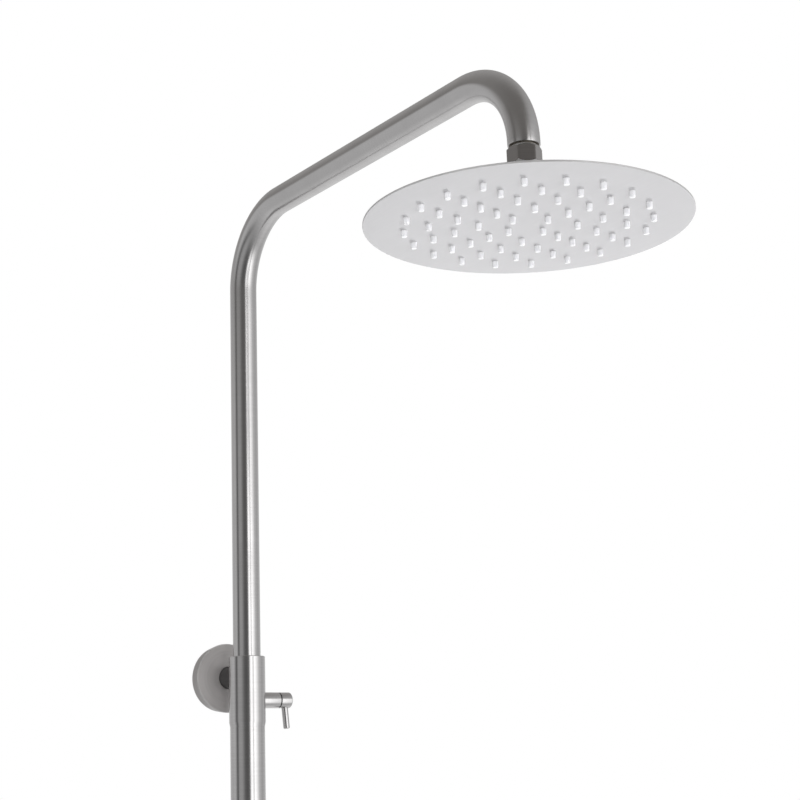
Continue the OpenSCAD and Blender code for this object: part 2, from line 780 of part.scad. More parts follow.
module upper_wall_plate() { wall_plate(0); }
module upper_wall_flange() { wall_flange(0); }
module upper_spacer_sleeve() { spacer_sleeve(0); }
module upper_wall_stud() { wall_stud(0); }
module upper_flange_ring() { flange_ring(0); }
module lower_wall_plate() { wall_plate(foot_z); }
module lower_wall_flange() { wall_flange(foot_z); }
module lower_spacer_sleeve() { spacer_sleeve(foot_z); }
module lower_wall_stud() { wall_stud(foot_z); }
module lower_flange_ring() { flange_ring(foot_z); }

module ball_seat_ring() {
    color("ivory") on_head(ball_z) intersection() {
        difference() {
            sphere(r = seat_out_r);
            sphere(r = ball_r + run_gap);
        }
        translate([0, 0, seat_ring_low])
            cylinder(r = seat_out_r + cut, h = seat_ring_high - seat_ring_low);
    }
}

module socket_cap() {
    slope = 4;
    slope_in = 5;
    cap_r = cap_ring_d / 2;
    color("silver") on_head(ball_z) difference() {
        union() {
            translate([0, 0, -cap_skirt]) cylinder(r = cap_r, h = cap_skirt + cap_top - slope);
            translate([0, 0, cap_top - slope]) cylinder(r1 = cap_r, r2 = cap_r - slope_in, h = slope);
        }
        translate([0, 0, -cap_skirt - cut])
            cylinder(r = socket_r + fit_gap, h = cap_skirt + cut + cap_shelf + fit_gap);
        sphere(r = ring_cut_r);
        cylinder(r = cap_mouth_r, h = cap_top + cut);
    }
}

// A ring of the given section under the ball, where the ball's seal lies
module under_ball(section_r) {
    centre = ball_r + ball_seal_gap + ball_seal_r;
    rotate_extrude() translate([centre * sin(ball_seal_angle), -centre * cos(ball_seal_angle)])
        circle(section_r, $fn = 32);
}

module socket_housing() {
    color("silver") on_head(ball_z) difference() {
        translate([0, 0, -socket_depth]) cylinder(r = socket_r, h = socket_depth + cap_shelf);
        sphere(r = socket_cut_r);
        translate([0, 0, -ring_cut_depth])
            cylinder(r = ring_cut_r, h = ring_cut_depth + cap_shelf + cut);
        translate([0, 0, -socket_depth - cut]) cylinder(r = water_way_r, h = socket_depth + cut);
        under_ball(ball_seal_r + fit_gap);
    }
}

module ball_seal() {
    color("black") on_head(ball_z) under_ball(ball_seal_r);
}

module back_cover() {
    lip = head_r - cover_sheet - fit_gap;
    color("silver") on_head(face_z) rotate_extrude($fn = 128) polygon([
        [lip, face_sheet + fit_gap], [lip, head_edge], [shoulder_r, shoulder_z], [crown_r, head_height],
        [water_way_r, head_height], [water_way_r, head_height - cover_sheet],
        [crown_r, head_height - cover_sheet], [shoulder_r, shoulder_z - cover_sheet]]);
}

module clamp_plate() {
    slope = (head_height - shoulder_z) / (shoulder_r - crown_r);
    post_room = slope * (shoulder_r - post_ring_r - post_r);
    post_top = shoulder_z - cover_sheet + post_room - post_gap;
    color("ivory") on_head(face_z + face_sheet + mat_t) {
        difference() {
            cylinder(r = mat_r, h = clamp_t);
            for (p = nozzles) translate([p[0], p[1], -cut])
                cylinder(r = nozzle_tip_d / 2, h = clamp_t + 2 * cut, $fn = 16);
        }
        for (k = [0 : 5]) rotate([0, 0, 60 * k]) translate([post_ring_r, 0, clamp_t / 2])
            cylinder(r = post_r, h = post_top - face_sheet - mat_t - clamp_t / 2, $fn = 24);
    }
}

// One nozzle, hanging down from z = 0, with its water hole
module nozzle(root) {
    tip_round = 0.6;
    translate([0, 0, -nozzle_length + tip_round])
        cylinder(r1 = nozzle_tip_d / 2, r2 = nozzle_d / 2, h = nozzle_length - tip_round, $fn = 24);
    translate([0, 0, -nozzle_length])
        cylinder(r1 = nozzle_tip_d / 2 - tip_round, r2 = nozzle_tip_d / 2, h = tip_round, $fn = 24);
    cylinder(r = nozzle_d / 2, h = root, $fn = 24);
}

module nozzle_mat() {
    color("white") on_head(face_z) difference() {
        union() {
            translate([0, 0, face_sheet]) cylinder(r = mat_r, h = mat_t);
            for (p = nozzles) translate([p[0], p[1], 0]) nozzle(face_sheet + mat_t / 2);
        }
        for (p = nozzles) translate([p[0], p[1], -nozzle_length - cut])
            cylinder(r = jet_d / 2, h = nozzle_length + face_sheet + mat_t + 2 * cut, $fn = 16);
    }
}

module face_plate() {
    edge = 0.35;
    color("gainsboro") on_head(face_z) difference() {
        rotate_extrude($fn = 128) polygon([[0, 0], [head_r - edge, 0], [head_r, edge], [head_r, head_edge],
            [head_r - cover_sheet, head_edge], [head_r - cover_sheet, face_sheet], [0, face_sheet]]);
        for (p = nozzles) translate([p[0], p[1], -cut])
            cylinder(r = nozzle_d / 2 + fit_gap, h = face_sheet + 2 * cut, $fn = 24);
    }
}

upper_tube();
arm_nipple();
filter_screen();
connector_washer();
flow_restrictor();
ball_connector();
riser_o_rings();
riser_grub_screw();
diverter_body();
handle_bonnet();
spindle_o_ring();
cartridge_housing();
fixed_disc();
lower_tube();
spigot_o_rings();
tube_grub_screws();
inner_tube();
inner_tube_o_rings();
foot_fitting();
inlet_nipple();
inlet_o_ring();
outlet_nipple();
outlet_washer();
check_valve();
upper_wall_plate();
upper_wall_flange();
upper_spacer_sleeve();
upper_wall_stud();
upper_flange_ring();
lower_wall_plate();
lower_wall_flange();
lower_spacer_sleeve();
lower_wall_stud();
lower_flange_ring();
spindle();
moving_disc();
handle_cap();
lever_pin();
handle_grub_screw();
ball_seat_ring();
socket_cap();
socket_housing();
ball_seal();
back_cover();
clamp_plate();
nozzle_mat();
face_plate();
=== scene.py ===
"""Looks of a wall-hung shower column: brushed tubes, turned fittings, a thin round head with silicone
nozzles, and threads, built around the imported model. Lengths are in metres and angles in degrees."""

import json
import math

import bmesh
import bpy
from mathutils import Matrix, Vector


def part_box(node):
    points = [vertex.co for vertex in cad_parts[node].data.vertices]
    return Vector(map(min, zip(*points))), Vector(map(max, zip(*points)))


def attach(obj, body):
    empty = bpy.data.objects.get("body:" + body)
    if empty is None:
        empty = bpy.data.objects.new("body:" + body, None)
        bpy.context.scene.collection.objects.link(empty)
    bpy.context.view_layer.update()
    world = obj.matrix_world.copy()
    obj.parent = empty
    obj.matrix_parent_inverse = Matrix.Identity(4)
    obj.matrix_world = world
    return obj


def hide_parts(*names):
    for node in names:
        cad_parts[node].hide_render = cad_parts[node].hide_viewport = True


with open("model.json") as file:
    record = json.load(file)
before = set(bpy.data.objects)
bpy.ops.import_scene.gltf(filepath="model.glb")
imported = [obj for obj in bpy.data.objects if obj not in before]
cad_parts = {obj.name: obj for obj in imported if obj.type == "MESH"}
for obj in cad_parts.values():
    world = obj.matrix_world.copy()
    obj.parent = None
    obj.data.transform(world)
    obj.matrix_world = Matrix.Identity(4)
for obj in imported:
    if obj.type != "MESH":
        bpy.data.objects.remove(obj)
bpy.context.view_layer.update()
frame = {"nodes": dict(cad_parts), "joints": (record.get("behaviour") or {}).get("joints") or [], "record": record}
nodes = frame["nodes"]
MM = 0.001
# Allowance where one radius is tested against another
HAIR = 0.01 * MM
bpy.context.scene.view_settings.view_transform = "Standard"


# Places and sizes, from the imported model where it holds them

def middle(node):
    """The centre of a node's box."""
    low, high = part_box(node)
    return (low + high) / 2


def half_size(node, axis):
    """Half of a node's box along one axis, x, y or z."""
    low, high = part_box(node)
    return (getattr(high, axis) - getattr(low, axis)) / 2


def joint_place(name):
    """The point that a joint turns about."""
    return next(Vector(joint["pos_m"]) for joint in frame["joints"] if joint["name"] == name)


RISER_X, RISER_Y = middle("lower_tube").x, middle("lower_tube").y
HEAD_Y = middle("face_plate").y
TUBE_R = 12.7 * MM
TUBE_BORE_R = 11.5 * MM
ARM_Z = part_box("upper_tube")[1].z - TUBE_R
RISER_BEND = 72 * MM
DROP_BEND = 68.5 * MM
DROP_STRAIGHT = 2.5 * MM
HUB_Z = middle("handle_cap").z
HUB_R = half_size("handle_cap", "z")
HEAD_R = half_size("face_plate", "x")
FACE_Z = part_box("face_plate")[0].z
BALL = joint_place("head_tilt")
FOOT_Z = middle("lower_wall_plate").z


def placed(name, data):
    """A new object in the scene."""
    piece = bpy.data.objects.new(name, data)
    bpy.context.scene.collection.objects.link(piece)
    return piece


# Camera, placed as the photograph was taken, with lens and sensor in millimetres

CAMERA_PLACE = (-760.9 * MM, -1373.9 * MM, -100.4 * MM)
CAMERA_YAW = 35.48
CAMERA_PITCH = 13.18
CAMERA_ROLL = -1.85
CAMERA_LENS = 73.49
CAMERA_SENSOR = 36
CAMERA_REACH = 100


def make_camera():
    """A camera that looks along yaw and pitch, then rolls about its own line of sight."""
    yaw, pitch, roll = (math.radians(a) for a in (CAMERA_YAW, CAMERA_PITCH, CAMERA_ROLL))
    look = Vector((math.sin(yaw) * math.cos(pitch), math.cos(yaw) * math.cos(pitch), math.sin(pitch)))
    right = Vector((math.cos(yaw), -math.sin(yaw), 0))
    up = right.cross(look)
    right_rolled = math.cos(roll) * right + math.sin(roll) * up
    up_rolled = -math.sin(roll) * right + math.cos(roll) * up
    data = bpy.data.cameras.new("camera")
    data.sensor_width = CAMERA_SENSOR
    data.lens = CAMERA_LENS
    data.clip_end = CAMERA_REACH
    camera = placed("camera", data)
    turn = Matrix((right_rolled, up_rolled, -look)).transposed().to_4x4()
    camera.matrix_world = Matrix.Translation(CAMERA_PLACE) @ turn
    bpy.context.scene.camera = camera


make_camera()


# Mesh building: rings of points joined into closed skins

# A rounding takes at most one part in this many of each side of its corner
SIDE_PER_ROUNDING = 2.2
# An axis whose direction has a Z above this counts as upright
UPRIGHT = 0.9
# Vertices nearer than the first become one, and edges shorter than the second go
WELD_GAP = 1e-7
SHORTEST_EDGE = 1e-8
# Longer than any outline, which then isn't divided
UNDIVIDED = 1.0
# Edges sharper than this stay sharp
SMOOTH_ANGLE = 35
FACE_SMOOTH_ANGLE = 20


def fillet(points, size, steps=4):
    """A closed outline of (r, s) points with every corner rounded by an arc that starts size away."""
    rounded = []
    for i, corner in enumerate(points):
        corner = Vector(corner)
        before = Vector(points[i - 1]) - corner
        after = Vector(points[(i + 1) % len(points)]) - corner
        reach = min(size, before.length / SIDE_PER_ROUNDING, after.length / SIDE_PER_ROUNDING)
        start = corner + before.normalized() * reach
        end = corner + after.normalized() * reach
        for k in range(steps + 1):
            t = k / steps
            rounded.append(start.lerp(corner, t).lerp(corner.lerp(end, t), t))
    return rounded


def divided(points, longest):
    """The closed outline with no step longer than this."""
    fine = []
    for i, point in enumerate(points):
        nearby = Vector(points[(i + 1) % len(points)])
        point = Vector(point)
        parts = max(1, math.ceil((nearby - point).length / longest))
        fine += [point.lerp(nearby, k / parts) for k in range(parts)]
    return fine


def arc(radius, first, last, steps):
    """Points of a circle about (0, 0), from one angle to another."""
    turns = [math.radians(first + (last - first) * k / steps) for k in range(steps + 1)]
    return [(radius * math.cos(a), radius * math.sin(a)) for a in turns]


def straight(place, along, across=None):
    """An axis that starts at place: s gives a point on it and two directions square to it."""
    along = Vector(along).normalized()
    across = Vector(across) if across else Vector((0, 0, 1) if abs(along.z) < UPRIGHT else (1, 0, 0))
    side = along.cross(across).normalized()
    other = along.cross(side)
    return lambda s: (Vector(place) + along * s, side, other)


def skin(name, rings, lengths):
    """A mesh through rings of equally many points, the last joined to the first. UVs are metres
    round and along the surface."""
    mesh = bpy.data.meshes.new(name)
    count = len(rings[0])
    vertices = [p for ring in rings for p in ring]
    total = len(rings)
    pairs = [(i, (i + 1) % total) for i in range(total)]
    faces = []
    corners_uv = []
    for i, j in pairs:
        along_i = lengths[i]
        along_j = lengths[j] if j > i else lengths[i] + (rings[i][0] - rings[j][0]).length
        round_i = (rings[i][0] - rings[i][1]).length
        for k in range(count):
            n = (k + 1) % count
            faces.append((i * count + k, i * count + n, j * count + n, j * count + k))
            corners_uv += [(k * round_i, along_i), ((k + 1) * round_i, along_i),
                           ((k + 1) * round_i, along_j), (k * round_i, along_j)]
    mesh.from_pydata(vertices, [], faces)
    layer = mesh.uv_layers.new(name="surface")
    for loop, uv in zip(layer.data, corners_uv):
        loop.uv = uv
    mesh.validate()
    mesh.update()
    weld(mesh)
    mesh.shade_smooth()
    piece = placed(name, mesh)
    mesh.set_sharp_from_angle(angle=math.radians(SMOOTH_ANGLE))
    return piece


def weld(mesh):
    """Makes vertices that meet one, and turns every face outward."""
    shape = bmesh.new()
    shape.from_mesh(mesh)
    bmesh.ops.remove_doubles(shape, verts=shape.verts, dist=WELD_GAP)
    bmesh.ops.dissolve_degenerate(shape, edges=shape.edges, dist=SHORTEST_EDGE)
    bmesh.ops.recalc_face_normals(shape, faces=shape.faces)
    shape.to_mesh(mesh)
    shape.free()


def turned(name, outline, axis, segments=96, edge=0.25 * MM, longest=UNDIVIDED, shape=None):
    """A closed outline of (radius, place on the axis) points, turned about a straight or bent axis.
    shape, if given, changes the radius by (radius, place, angle)."""
    points = divided(fillet(outline, edge), longest)
    rings = []
    lengths = [0.0]
    for i, (r, s) in enumerate(points):
        centre, side, other = axis(s)
        ring = []
        for k in range(segments):
            a = 2 * math.pi * k / segments
            reach = shape(r, s, a) if shape else r
            ring.append(centre + side * (reach * math.cos(a)) + other * (reach * math.sin(a)))
        rings.append(ring)
        if i:
            lengths.append(lengths[-1] + (points[i] - points[i - 1]).length)
    return skin(name, rings, lengths)


def hexagon(flat_r, round_size):
    """The outline of a hexagon with rounded corners, as (angle, radius) points."""
    corner_r = flat_r / math.cos(math.radians(30))
    corners = [(corner_r * math.cos(math.radians(60 * k)), corner_r * math.sin(math.radians(60 * k)))
               for k in range(6)]
    longest = flat_r / 6
    points = divided(fillet(corners, round_size, steps=3), longest)
    return [(math.atan2(p.y, p.x), p.length) for p in points]


def hex_rings(outline, axis, low, high, chamfer_rise, inset=0):
    """Four rings of a nut with both ends turned to a cone, from its low end to its high end.
    inset is how far the cone starts inside the flats."""
    flat_r = min(r for _, r in outline) - inset

    def ring(radius_and_place):
        points = []
        for angle, corner in outline:
            r, s = radius_and_place(corner)
            centre, side, other = axis(s)
            points.append(centre + side * (r * math.cos(angle)) + other * (r * math.sin(angle)))
        return points

    return [ring(lambda corner: (flat_r, low)),
            ring(lambda corner: (corner, low + (corner - flat_r) * chamfer_rise)),
            ring(lambda corner: (corner, high - (corner - flat_r) * chamfer_rise)),
            ring(lambda corner: (flat_r, high))]


def round_rings(outline, axis, points):
    """Round rings at (radius, place) points, with their corners at the outline's angles."""
    rings = []
    for r, s in points:
        centre, side, other = axis(s)
        rings.append([centre + side * (r * math.cos(a)) + other * (r * math.sin(a)) for a, _ in outline])
    return rings


def ring_skin(name, rings):
    """A closed skin through rings that already hold their points."""
    lengths = [0.0]
    for before, after in zip(rings, rings[1:]):
        lengths.append(lengths[-1] + (after[0] - before[0]).length)
    return skin(name, rings, lengths)


def join(name, pieces):
    """Several new pieces as one object."""
    shape = bmesh.new()
    for piece in pieces:
        shape.from_mesh(piece.data)
    mesh = bpy.data.meshes.new(name)
    shape.to_mesh(mesh)
    shape.free()
    for piece in pieces:
        bpy.data.objects.remove(piece)
    return placed(name, mesh)


def dress(piece, body, material, slot, *stands_for):
    """Gives a new piece its body and material, and hides the CAD nodes that it stands for. The slot is not used.
    """
    piece.data.materials.clear()
    piece.data.materials.append(material)
    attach(piece, body)
    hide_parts(*stands_for)
    return piece


def paint_faces(piece, material, chosen):
    """Gives the chosen faces of a dressed piece a second material."""
    piece.data.materials.append(material)
    for face in piece.data.polygons:
        if chosen(face):
            face.material_index = 1


# Materials

# Most of a noise texture's values lie in this range
NOISE_RANGE = (0.3, 0.7)


class NodeTree:
    """A tree of shader nodes, and short ways to add to it."""

    def __init__(self, tree):
        self.tree = tree

    def add(self, kind, **settings):
        node = self.tree.nodes.new(kind)
        for key, value in settings.items():
            setattr(node, key, value)
        return node

    def link(self, output, target):
        self.tree.links.new(output, target)

    def feed(self, target, value):
        """Links an output to a socket, or sets the socket to a number or colour."""
        if isinstance(value, bpy.types.NodeSocket):
            self.link(value, target)
        else:
            target.default_value = value

    def maths(self, operation, first, second):
        node = self.add("ShaderNodeMath", operation=operation)
        self.feed(node.inputs[0], first)
        self.feed(node.inputs[1], second)
        return node.outputs[0]

    def ranged(self, value, source, target=(0, 1), smooth=False):
        """A value taken from one range to another, and held at its ends."""
        node = self.add("ShaderNodeMapRange", interpolation_type="SMOOTHSTEP" if smooth else "LINEAR")
        for socket, end in zip(("From Min", "From Max", "To Min", "To Max"), (*source, *target)):
            node.inputs[socket].default_value = end
        self.link(value, node.inputs["Value"])
        return node.outputs["Result"]

    def mixed(self, share, first, second, blend="MIX"):
        """The second colour laid over the first by a share."""
        node = self.add("ShaderNodeMix", data_type="RGBA", blend_type=blend)
        self.feed(node.inputs["Factor"], share)
        self.feed(node.inputs["A"], first)
        self.feed(node.inputs["B"], second)
        return node.outputs["Result"]

    def mixed_shaders(self, share, first, second):
        node = self.add("ShaderNodeMixShader")
        self.link(share, node.inputs["Fac"])
        self.link(first, node.inputs[1])
        self.link(second, node.inputs[2])
        return node.outputs[0]


class Shader(NodeTree):
    """A material with one Principled shader, and short ways to give it a texture."""

    def __init__(self, name, color, roughness, metallic=0.0):
        self.material = bpy.data.materials.new(name)
        self.material.use_nodes = True
        super().__init__(self.material.node_tree)
        self.surface = self.tree.nodes["Principled BSDF"]
        self.surface.inputs["Base Color"].default_value = (*color, 1)
        self.surface.inputs["Roughness"].default_value = roughness
        self.surface.inputs["Metallic"].default_value = metallic
        self.color = color
        self.roughness = roughness

    def stretched(self, scale, source="Object"):
        """Coordinates of the piece in metres, stretched by a scale for each axis."""
        place = self.add("ShaderNodeTexCoord")
        scaled = self.add("ShaderNodeMapping")
        scaled.inputs["Scale"].default_value = scale
        self.link(place.outputs[source], scaled.inputs["Vector"])
        return scaled.outputs["Vector"]

    def noise(self, scale, source="Object", detail=3.0):
        """Noise with as many waves to the metre as the scale says, for each axis."""
        node = self.add("ShaderNodeTexNoise")
        node.inputs["Scale"].default_value = 1
        node.inputs["Detail"].default_value = detail
        self.link(self.stretched(scale, source), node.inputs["Vector"])
        return node.outputs["Fac"]

    def tint(self, noise, amount):
        """The colour made lighter and darker by a share of itself."""
        dark = tuple(c * (1 - amount) for c in self.color)
        light = tuple(min(1, c * (1 + amount)) for c in self.color)
        colors = self.mixed(self.ranged(noise, NOISE_RANGE), (*dark, 1), (*light, 1))
        self.link(colors, self.surface.inputs["Base Color"])

    def roughen(self, noise, amount):
        ends = (self.roughness - amount, self.roughness + amount)
        self.link(self.ranged(noise, NOISE_RANGE, ends), self.surface.inputs["Roughness"])

    def bump(self, noise, depth):
        node = self.add("ShaderNodeBump")
        node.inputs["Strength"].default_value = 1
        node.inputs["Distance"].default_value = depth
        self.link(noise, node.inputs["Height"])
        self.link(node.outputs["Normal"], self.surface.inputs["Normal"])


# Waves of noise to the metre: along brush lines, across them, and in wide patches of either steel
# or plain material
GRAIN_LONG = 25
GRAIN_FINE = 2600
BRUSHED_PATCHES = 40
PLAIN_PATCHES = 60
# Depth of the brush lines
GRAIN_DEPTH = 0.004 * MM
# Turns the tangent of a UV map by a quarter, so that highlights are drawn out across the lines
QUARTER_TURN = 0.25


def brushed(name, color, roughness, grain, source="Object", tangent=None, stretch=0.6,
            depth=GRAIN_DEPTH, patchy=0.05, uneven=0.04, metallic=1.0):
    """Brushed steel: fine grain with short lines, faint wide patches, and drawn-out highlights."""
    shader = Shader(name, color, roughness, metallic)
    shader.surface.inputs["Anisotropic"].default_value = stretch
    if source == "UV":
        direction = shader.add("ShaderNodeTangent", direction_type="UV_MAP")
        direction.uv_map = "surface"
        shader.link(direction.outputs["Tangent"], shader.surface.inputs["Tangent"])
        shader.surface.inputs["Anisotropic Rotation"].default_value = QUARTER_TURN
    elif tangent:
        direction = shader.add("ShaderNodeCombineXYZ")
        for axis, value in zip("XYZ", tangent):
            direction.inputs[axis].default_value = value
        shader.link(direction.outputs["Vector"], shader.surface.inputs["Tangent"])
    fine = shader.noise(grain, source, detail=2.0)
    wide = shader.noise((BRUSHED_PATCHES,) * 3)
    shader.bump(fine, depth)
    shader.tint(fine, patchy)
    shader.roughen(wide, uneven)
    return shader.material


def plain(name, color, roughness, grain=900, depth=0.01 * MM, patchy=0.06, uneven=0.06, metallic=0.0):
    """Moulded, drawn or cast surface with a fine even texture."""
    shader = Shader(name, color, roughness, metallic)
    fine = shader.noise((grain,) * 3, detail=4.0)
    wide = shader.noise((PLAIN_PATCHES,) * 3, detail=2.0)
    shader.bump(fine, depth)
    shader.tint(wide, patchy)
    shader.roughen(fine, uneven)
    return shader.material


def make_silicone():
    """White silicone that lets a little light through."""
    shader = Shader("silicone", (0.84, 0.84, 0.86), 0.4)
    shader.surface.inputs["Subsurface Weight"].default_value = 0.6
    shader.surface.inputs["Subsurface Radius"].default_value = (1, 1, 1)
    shader.surface.inputs["Subsurface Scale"].default_value = 1.5 * MM
    grain = 1500
    fine = shader.noise((grain,) * 3, detail=2.0)
    shader.bump(fine, 0.01 * MM)
    shader.roughen(fine, 0.05)
    return shader.material


STEEL = (0.61, 0.601, 0.601)
# Brush lines that lie square to an axis
square_to_x = (GRAIN_FINE, GRAIN_LONG, GRAIN_LONG)
square_to_y = (GRAIN_LONG, GRAIN_FINE, GRAIN_LONG)
square_to_z = (GRAIN_LONG, GRAIN_LONG, GRAIN_FINE)
# Brush lines round the bent tube, whose UV map runs round it and then along it
round_tube = (GRAIN_LONG, GRAIN_FINE, 1)
tube_steel = brushed("tube_steel", STEEL, 0.2, round_tube, source="UV", stretch=0.9)
column_steel = brushed("column_steel", STEEL, 0.2, square_to_z, tangent=(0, 0, 1), stretch=0.9)
hub_steel = brushed("hub_steel", STEEL, 0.2, square_to_x, tangent=(1, 0, 0), stretch=0.8)
lever_steel = brushed("lever_steel", STEEL, 0.2, square_to_z, tangent=(0, 0, 1), stretch=0.8)
# The nut's steel is darker than the rest: painted shade for the dark reflections it shows.
nut_painted_shade_steel = brushed("nut_painted_shade_steel", (0.42, 0.405, 0.4), 0.1, square_to_z, tangent=(0, 0, 1), stretch=0.2)
nipple_steel = brushed("nipple_steel", STEEL, 0.2, square_to_y, tangent=(0, 1, 0), stretch=0.3)
flange_steel = brushed("flange_steel", (0.42, 0.404, 0.4), 0.5, square_to_y, stretch=0.3, metallic=0.4)
# A lighter steel for the flange's front edge: a painted highlight.
flange_edge_highlight_steel = brushed("flange_edge_highlight_steel", (0.45, 0.44, 0.436), 0.42, square_to_y, stretch=0.3,
                            metallic=0.3)
head_steel = brushed("head_steel", (0.585, 0.582, 0.594), 0.42, square_to_x, tangent=(0, 1, 0),
                     stretch=0.3, depth=0.002 * MM, patchy=0.02, metallic=0.25)
cover_steel = brushed("cover_steel", (0.64, 0.635, 0.63), 0.3, square_to_x, tangent=(0, 1, 0),
                      stretch=0.6)
# Steel of the head's rim. It is also laid on the nut's cones, where its lighter tone is a painted highlight.
rim_steel_and_cone_highlight = brushed("rim_steel_and_cone_highlight", (0.55, 0.545, 0.545), 0.35, square_to_z, tangent=(0, 0, 1),
                    stretch=0.3, metallic=0.45)
# Near black: painted shade for the groove between bonnet and cap.
shadow_steel = plain("shadow_steel", (0.05, 0.05, 0.05), 0.5, metallic=0.5)
inner_steel = plain("inner_steel", (0.58, 0.58, 0.58), 0.3, metallic=1.0)
screw_steel = plain("screw_steel", (0.42, 0.42, 0.42), 0.35, metallic=1.0)
brass = plain("brass", (0.71, 0.56, 0.32), 0.28, metallic=1.0)
# Brass darkened as painted shade, for the gap between the tube's end and the nut.
painted_shade_brass = plain("painted_shade_brass", (0.3, 0.275, 0.24), 0.5, metallic=1.0)
seal_rubber = plain("seal_rubber", (0.02, 0.02, 0.02), 0.55)
# The stub's near black is painted shade, for where it sits in deep shade between flange and body.
sleeve_plastic = plain("sleeve_plastic", (0.052, 0.05, 0.05), 0.38)
seat_plastic = plain("seat_plastic", (0.8, 0.79, 0.75), 0.45)
valve_plastic = plain("valve_plastic", (0.7, 0.7, 0.66), 0.4)
ceramic = plain("ceramic", (0.86, 0.86, 0.84), 0.15)
silicone = make_silicone()
NODE_MATERIALS = {
    "tube_steel": column_steel, "fitting_steel": hub_steel, "flange_steel": flange_steel,
    "head_steel": head_steel, "screen_steel": inner_steel, "screw_steel": screw_steel, "brass": brass,
    "silicone": silicone, "seal_rubber": seal_rubber, "sleeve_plastic": sleeve_plastic,
    "seat_plastic": seat_plastic, "valve_plastic": valve_plastic, "ceramic": ceramic,
}


def paint_nodes():
    """Every CAD node gets the material of its slot in the record. The neck over the nut gets darkened brass, a
    painted shade for the gap it shows through.
    """
    for part in frame["record"]["subparts"]:
        target = nodes[part["node"]]
        for material_slot in target.material_slots:
            material_slot.material = NODE_MATERIALS[part["material_slot"]]
    for material_slot in nodes["arm_nipple"].material_slots:
        material_slot.material = painted_shade_brass


paint_nodes()


# Upper tube: one bent skin, inside and out, with rounded ends

def tube_axis():
    """The tube's centre line by length: riser, bend, arm, bend, drop. Returns it and its stops."""
    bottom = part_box("upper_tube")[0].z
    riser = ARM_Z - RISER_BEND - bottom
    first = RISER_BEND * math.pi / 2
    arm = RISER_Y - HEAD_Y - RISER_BEND - DROP_BEND
    second = DROP_BEND * math.pi / 2
    stops = [0, riser, riser + first, riser + first + arm, riser + first + arm + second]
    stops.append(stops[-1] + DROP_STRAIGHT)
    side = Vector((1, 0, 0))
    riser_centre = Vector((RISER_X, RISER_Y - RISER_BEND, ARM_Z - RISER_BEND))
    drop_centre = Vector((RISER_X, HEAD_Y + DROP_BEND, ARM_Z - DROP_BEND))

    def axis(s):
        if s < stops[1]:
            return Vector((RISER_X, RISER_Y, bottom + s)), side, Vector((0, 1, 0))
        if s < stops[2]:
            a = (s - stops[1]) / RISER_BEND
            out = Vector((0, math.cos(a), math.sin(a)))
            return riser_centre + out * RISER_BEND, side, out
        if s < stops[3]:
            y = RISER_Y - RISER_BEND - (s - stops[2])
            return Vector((RISER_X, y, ARM_Z)), side, Vector((0, 0, 1))
        if s < stops[4]:
            a = (s - stops[3]) / DROP_BEND
            out = Vector((0, -math.sin(a), math.cos(a)))
            return drop_centre + out * DROP_BEND, side, out
        z = ARM_Z - DROP_BEND - (s - stops[4])
        return Vector((RISER_X, HEAD_Y, z)), side, Vector((0, -1, 0))

    return axis, stops


def make_upper_tube():
    """The tube with its wall, from its seat in the body to its end over the nut."""
    axis, stops = tube_axis()
    end = stops[-1]
    outline = [(TUBE_R, 0), (TUBE_R, end), (TUBE_BORE_R, end), (TUBE_BORE_R, 0)]
    tube = turned("bent_tube", outline, axis, edge=0.5 * MM, longest=3 * MM)
    dress(tube, "column", tube_steel, "tube_steel", "upper_tube")


make_upper_tube()


# Nut with its neck and ball, under the tube's end

NUT_FLATS = 24 * MM
NUT_HEIGHT = 16 * MM
NUT_ROUNDING = 0.5 * MM
NUT_BORE_R = 10.475 * MM
NUT_BORE_DEPTH = 10 * MM
NUT_CHAMFER_RISE = 0.8
NUT_CHAMFER_INSET = 1.2 * MM
# Faces of the cones at the nut's ends, painted lighter as a highlight, have a normal whose Z lies between these
HIGHLIGHT_CONE_NORMAL = (0.1, 0.9)
BALL_R = 11 * MM
BALL_BORE_R = 4 * MM
BALL_STEPS = 28
NECK_R = 6 * MM


def make_nut():
    """Nut, neck and ball in one, darkened as painted shade, with the cones lighter as a painted highlight. Places
    are heights above the ball's centre.
    """
    axis = straight(BALL, (0, 0, 1), (1, 0, 0))
    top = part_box("ball_connector")[1].z - BALL.z
    bottom = top - NUT_HEIGHT
    bore_end = top - NUT_BORE_DEPTH
    outline = hexagon(NUT_FLATS / 2, NUT_ROUNDING)
    sphere_top = math.degrees(math.acos(NECK_R / BALL_R))
    sphere_end = -math.degrees(math.acos(BALL_BORE_R / BALL_R))
    neck = [(NECK_R, bottom)] + arc(BALL_R, sphere_top, sphere_end, BALL_STEPS)
    bore = [(BALL_BORE_R, bore_end), (NUT_BORE_R, bore_end), (NUT_BORE_R, top)]
    rings = hex_rings(outline, axis, bottom, top, NUT_CHAMFER_RISE, NUT_CHAMFER_INSET)
    rings = rings[::-1] + round_rings(outline, axis, neck + bore)
    nut = dress(ring_skin("nut_and_ball", rings), "column", nut_painted_shade_steel, "fitting_steel", "ball_connector")

    def on_highlight_cone(face):
        return face.center.z > BALL.z + bottom and HIGHLIGHT_CONE_NORMAL[0] < abs(face.normal.z) < HIGHLIGHT_CONE_NORMAL[1]

    # The cones get the lighter rim steel: a painted highlight.
    paint_faces(nut, rim_steel_and_cone_highlight, on_highlight_cone)


make_nut()


# Handle: bonnet, cap and lever. Places along the hub are X places

SPINDLE_HOLE_R = 3.06 * MM
PLUG_R = 6.95 * MM
NOSE_R = 5.6 * MM
SADDLE_X = 15 * MM
GROOVE = 1.0 * MM
# How far before the groove the painted shade on its side starts
GROOVE_SHADE = 0.1 * MM
CAP_CHAMFER = 0.9 * MM
CAP_FRONT = 1.65 * MM
LEVER_LEAN = 5.5
LEVER_R = 3 * MM
LEVER_ROOT = 3.5 * MM
LEVER_END = 26 * MM
LEVER_TIP = 0.7 * MM


